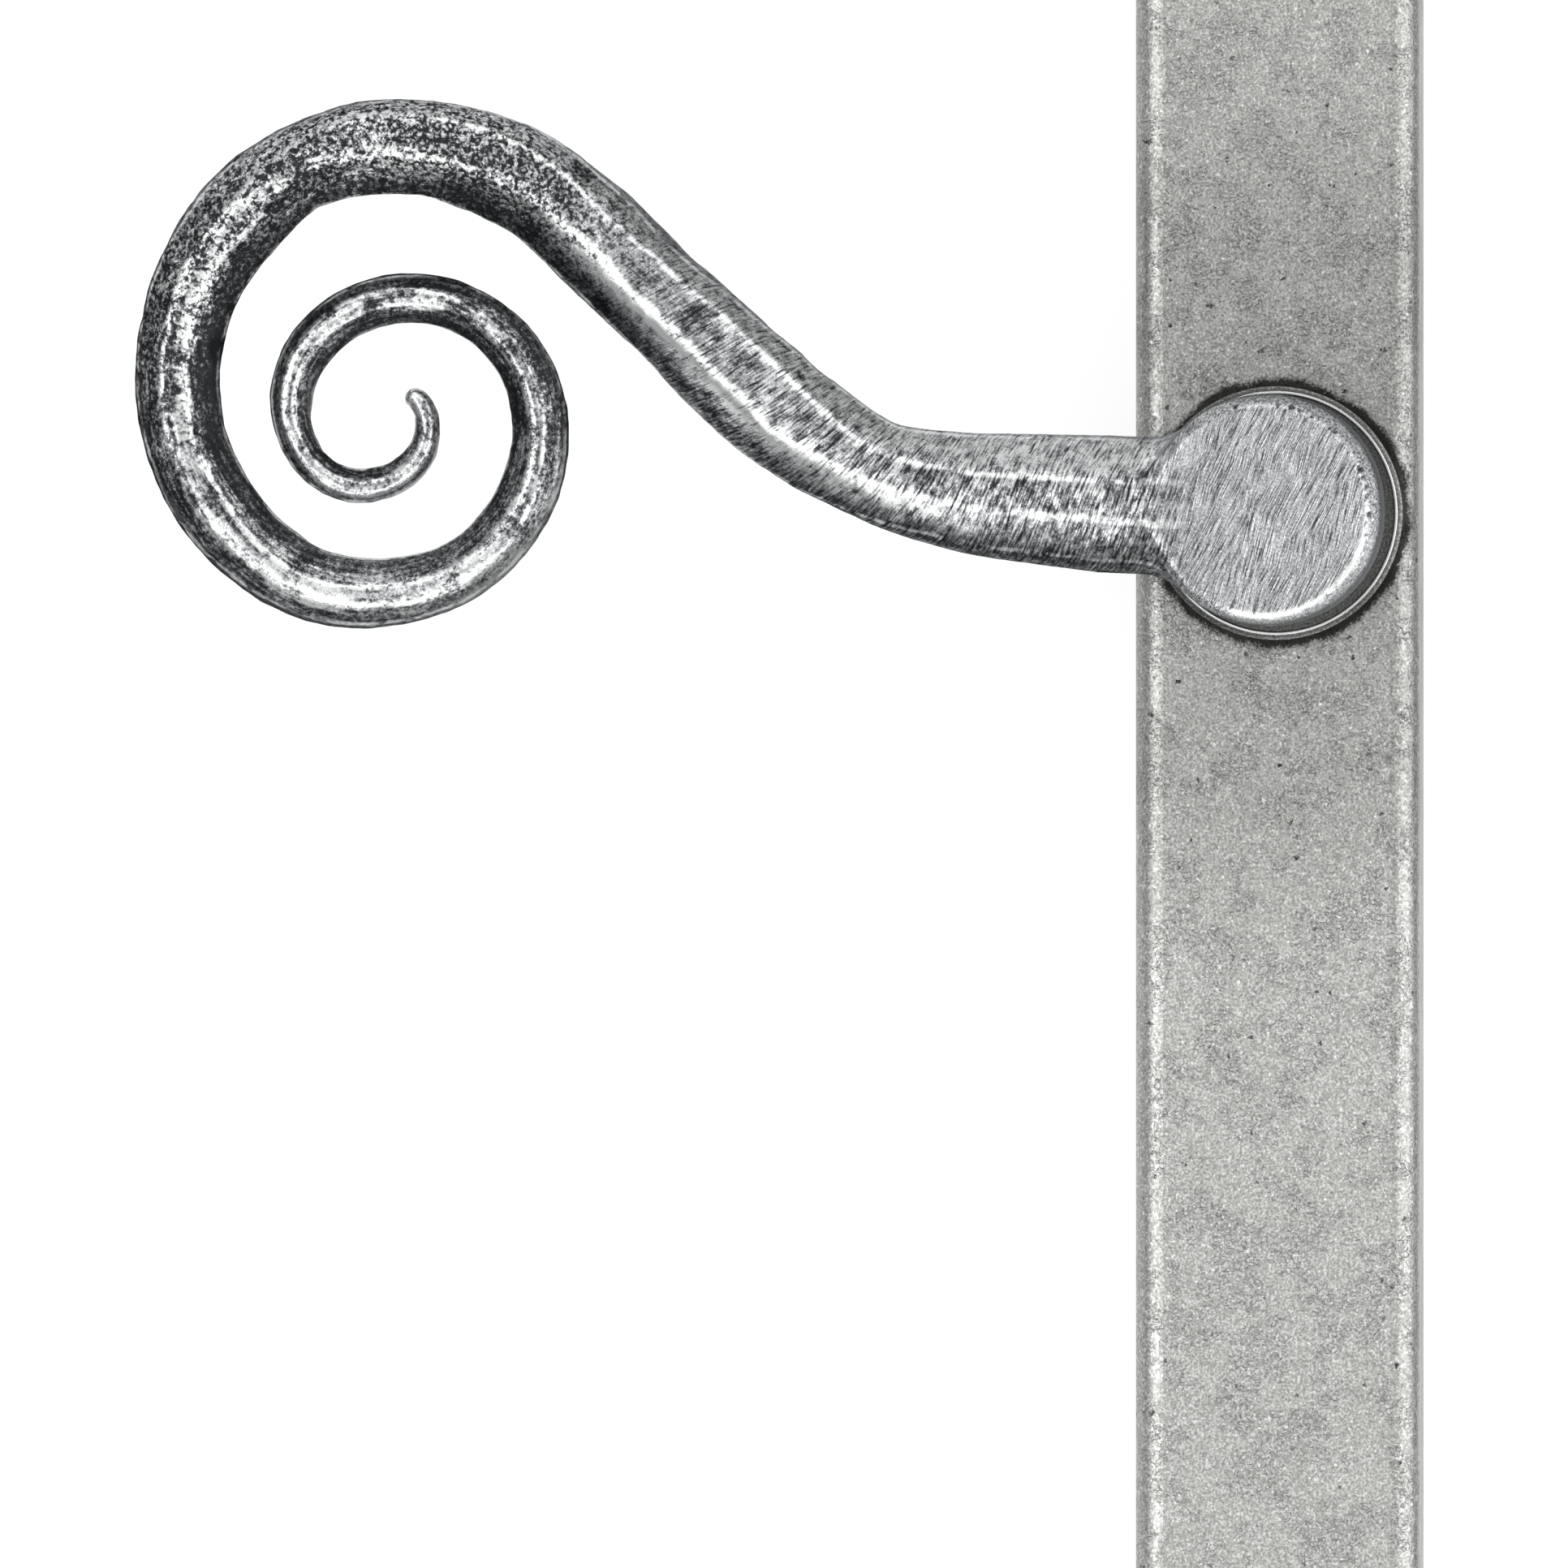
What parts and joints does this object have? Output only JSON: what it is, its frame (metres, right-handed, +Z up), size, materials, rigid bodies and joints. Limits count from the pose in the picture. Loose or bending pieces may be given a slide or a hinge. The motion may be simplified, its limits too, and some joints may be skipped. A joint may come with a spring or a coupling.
{
  "type": "espagnolette casement window fastener",
  "caption": "Casement window fastener: a scrolled monkey-tail lever turns on a long slim cover and shoots bolts out of its two ends into keeps.",
  "frame": {"origin": "where the spindle's axis meets the flat back face that lies on the window", "axes": "+Z up along the cover, -Y towards the room, +X to the right seen from the room"},
  "size_m": [0.1344, 0.0331, 0.48],
  "materials": {
    "pewter_cover": "grey pewter patina, satin and slightly mottled",
    "forged_pewter": "forged steel, dark pewter patina rubbed bright on its ridges",
    "pewter_collar": "turned steel, pewter patina, bright worn rim",
    "pewter_keep": "grey pewter patina, satin",
    "plated_steel": "bright zinc plating",
    "machined_steel": "machined and lightly oiled",
    "drawn_steel": "cold drawn, long fine drawing lines",
    "rivet_steel": "set rivet, satin",
    "screw_steel": "zinc-plated screw",
    "black_steel": "phosphated spring steel",
    "cast_zinc": "die-cast zinc, dull",
    "brass": "turned brass",
    "nylon": "natural nylon"
  },
  "bodies": {
    "housing": {"cover": "pewter_cover", "back_plate": "plated_steel", "upper_end_guide": "cast_zinc", "lower_end_guide": "cast_zinc", "cover_side_screws": "screw_steel", "end_guide_screws": "screw_steel", "rod_guides": "nylon", "fixing_sleeves": "brass", "gear_tray": "plated_steel", "gear_cheek_plate": "plated_steel", "gear_box_pillars": "rivet_steel", "collar": "pewter_collar", "collar_nut": "plated_steel", "upper_keep": "pewter_keep", "lower_keep": "pewter_keep"},
    "lever": {"lever": "forged_pewter", "grub_screw": "black_steel", "spindle": "machined_steel", "pinion": "machined_steel", "circlip": "black_steel", "friction_washer": "black_steel", "bearing_washer": "nylon"},
    "upper_rod": {"upper_rack": "machined_steel", "upper_rack_rivets": "rivet_steel", "upper_rod": "drawn_steel", "upper_bolt": "drawn_steel", "upper_bolt_rivets": "rivet_steel"},
    "lower_rod": {"lower_rack": "machined_steel", "lower_rack_rivets": "rivet_steel", "lower_rod": "drawn_steel", "lower_bolt": "drawn_steel", "lower_bolt_rivets": "rivet_steel"}
  },
  "joints": [
    {"name": "lever_turn", "type": "hinge", "parent": "housing", "child": "lever", "pos_m": [0, 0, 0], "axis": [0, -1, 0], "range_deg": [0, 90]},
    {"name": "upper_bolt_throw", "type": "slide", "parent": "housing", "child": "upper_rod", "axis": [0, 0, 1], "range_m": [0, 0.011]},
    {"name": "lower_bolt_throw", "type": "slide", "parent": "housing", "child": "lower_rod", "axis": [0, 0, -1], "range_m": [0, 0.011]}
  ],
  "couplings": [
    {"joint": "upper_bolt_throw", "follows": "lever_turn", "m_per_rad": 0.007},
    {"joint": "lower_bolt_throw", "follows": "lever_turn", "m_per_rad": 0.007}
  ]
}
